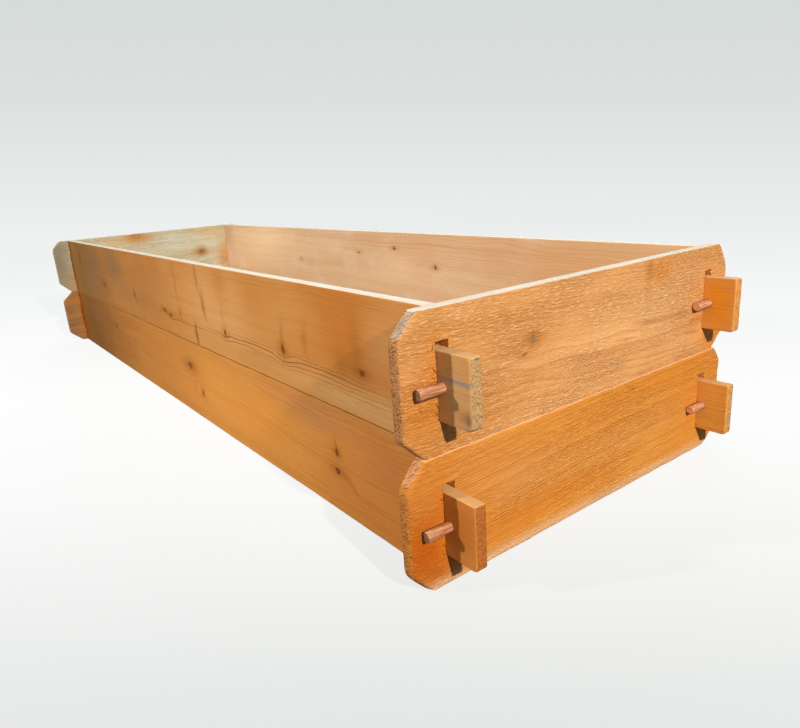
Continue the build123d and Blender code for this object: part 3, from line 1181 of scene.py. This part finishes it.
        seed=13.9, **BROWN, heart=(-50.0, 58.0), spacing=4.8, slope=0.01,
        streak=0.4, contrast=0.42, top=(0.4, (0.5, 0.3, 0.15)), end=(0.66, 0.38, 0.13),
        knots=[(-420, 100, 9, 7, 0.9), (330, 70, 10, 8, 0.9), (760, 130, 8, 6, 0.8)],
        blobs=[
            (1110, 92, 52, 100, (0.8, 0.35, 0.062), 1.0),
            (-1110, 92, 52, 100, (0.54, 0.21, 0.035), 0.8),
            (100, 90, 400, 90, (0.62, 0.28, 0.08), 0.5)]),
}

# ------------------------------------------------------------------ build
boards = {}
for name, look in LOOKS.items():
    is_end = name in END_SHAPES
    board = end_board(name, **END_SHAPES[name]) if is_end else long_board(name)
    boards[name] = board
    board.data.materials.append(cedar(name, look))

for name, board in boards.items():
    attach(board, tier_of(name) + "_tier")
    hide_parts(name)
    "cedar_rough_sawn" if name in END_SHAPES else "cedar_planed"

for tier in ("lower", "upper"):
    for row, side_y in (("front", -1), ("back", 1)):
        for end, side_x in (("left", -1), ("right", 1)):
            name = f"{tier}_{row}_{end}_peg"
            x, y, z = side_x * PEG_X, side_y * Y_LONG, Z0[tier] + PEG_Z
            turned = peg(name + "_turned", (x, y, z))
            turned.data.materials.append(
                dowel("dowel_" + name, x, z, name_seed(name) * 0.013, row == "front"))
            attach(turned, name)
            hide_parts(name)

# ------------------------------------------------------------------ floor and backdrop
FLOOR_HALF = 45.0                      # m
# share of the picture's height from the bottom, sRGB colour
BACKDROP = (
    (0.0, (222, 226, 225)), (0.05, (224, 228, 227)), (0.176, (236, 238, 237)),
    (0.313, (247, 249, 248)), (0.45, (254, 255, 255)), (0.588, (246, 248, 247)),
    (0.657, (240, 242, 241)), (0.725, (232, 236, 235)), (0.863, (220, 224, 223)),
    (1.0, (214, 220, 218)))


def backdrop():
    """Pale paper, brightest behind the object, darker to the top and bottom of the picture."""
    height = split(Val(node("ShaderNodeTexCoord").outputs["Window"]))[1]
    made = node("ShaderNodeValToRGB")
    stops = made.color_ramp.elements
    while len(stops) > 1:
        stops.remove(stops[-1])
    stops[0].position = BACKDROP[0][0]
    stops[0].color = (*srgb(*BACKDROP[0][1]), 1)
    for position, colour in BACKDROP[1:]:
        stop = stops.new(position)
        stop.color = (*srgb(*colour), 1)
    return wire(made, {0: height})


def camera_ray():
    return Val(node("ShaderNodeLightPath").outputs["Is Camera Ray"])


def floor():
    mesh = bpy.data.meshes.new("studio_floor")
    s = FLOOR_HALF
    mesh.from_pydata([(-s, -s, 0), (s, -s, 0), (s, s, 0), (-s, s, 0)], [], [(0, 1, 2, 3)])
    made = bpy.data.objects.new("studio_floor", mesh)
    made.location = (0, 0, -0.0006)
    bpy.context.scene.collection.objects.link(made)
    material = new_material("floor_paper")
    place = Val(node("ShaderNodeTexCoord").outputs["Object"])
    length = wire(node("ShaderNodeVectorMath", operation="LENGTH"), {0: place}, "Value")
    mottle = mix(noise(place, scale=60.0), (0.100, 0.101, 0.102), (0.107, 0.108, 0.109))
    paper = wire(node("ShaderNodeBsdfDiffuse"), {"Color": mottle})
    # near the object the paper takes shadows; far away it is only backdrop
    seen = camera_ray()
    glow_near, glow_far = (
        wire(node("ShaderNodeEmission"), {"Color": backdrop(), "Strength": strength})
        for strength in (seen * 0.865, seen))
    near = wire(node("ShaderNodeAddShader"), {0: paper, 1: glow_near})
    show(wire(node("ShaderNodeMixShader"), {0: ramp(length, 3.0, 9.0), 1: near, 2: glow_far}))
    mesh.materials.append(material)


floor()


# ------------------------------------------------------------------ lights
# strength is the brightness a lamp gives a white card that faces it
def sun(name, travel, strength, angle, colour):
    """A far soft light; travel is the way its light goes."""
    light = bpy.data.lights.new(name, "SUN")
    light.energy = math.pi * strength
    light.angle = math.radians(angle)
    light.color = colour
    made = bpy.data.objects.new(name, light)
    made.rotation_mode = "QUATERNION"
    made.rotation_quaternion = Vector(travel).to_track_quat("-Z", "Y")
    made.location = -Vector(travel).normalized() * 4
    bpy.context.scene.collection.objects.link(made)


def lamp(name, place, radius, strength, colour):
    """A small soft lamp, equally bright at every distance."""
    light = bpy.data.lights.new(name, "POINT")
    light.energy = 4 * math.pi ** 2 * strength
    light.shadow_soft_size = radius
    light.color = colour
    light.use_nodes = True
    Shader.tree = light.node_tree
    even = wire(node("ShaderNodeLightFalloff"), {"Strength": 1.0}, "Constant")
    glow = next(n for n in Shader.tree.nodes if n.type == "EMISSION")
    wire(glow, {"Strength": even})
    made = bpy.data.objects.new(name, light)
    made.location = place
    made.visible_camera = False
    bpy.context.scene.collection.objects.link(made)


lamp("key_near_end", place=(3.30, -0.60, 1.52), radius=0.050, strength=1.40,
     colour=(1.0, 0.90, 0.78))
lamp("side_left", place=(-0.31, -3.0, 1.46), radius=0.085, strength=0.76,
     colour=(1.0, 0.93, 0.84))
sun("back_fill", travel=(0.62, -0.62, -0.30), strength=0.72, angle=50.0,
    colour=(1.0, 0.94, 0.86))

# the world shows the backdrop to the camera and lights everything with a cool blue
world = bpy.data.worlds.new("studio")
scene = bpy.context.scene
scene.world = world
world.use_nodes = True
Shader.tree = world.node_tree
Shader.tree.nodes.clear()
shown = wire(node("ShaderNodeBackground"), {"Color": backdrop()})
ambient = wire(node("ShaderNodeBackground"), {"Color": (0.27, 0.35, 0.43)})
show(wire(node("ShaderNodeMixShader"), {0: camera_ray(), 1: ambient, 2: shown}),
     "ShaderNodeOutputWorld")

scene.view_settings.view_transform = "Standard"
scene.view_settings.look = "None"
scene.view_settings.exposure = 0.0
scene.view_settings.gamma = 1.0

# ------------------------------------------------------------------ camera
# over the front right corner, a little above the rim
camera = bpy.data.cameras.new("photo_view")
camera.sensor_fit = "HORIZONTAL"
camera.sensor_width = 36.0
camera.lens = 28.93905
camera.clip_start, camera.clip_end = 0.05, 100.0
viewer = bpy.data.objects.new("photo_view", camera)
right = Vector((0.602841, 0.795106, -0.066245))
down = Vector((0.185701, -0.220574, -0.957529))
forward = Vector((-0.77595, 0.564936, -0.280623))
turn = Matrix((right, -down, -forward)).transposed()
viewer.matrix_world = Matrix.Translation(Vector((1.66433, -0.79534, 0.53394))) @ turn.to_4x4()
scene.collection.objects.link(viewer)
scene.camera = viewer
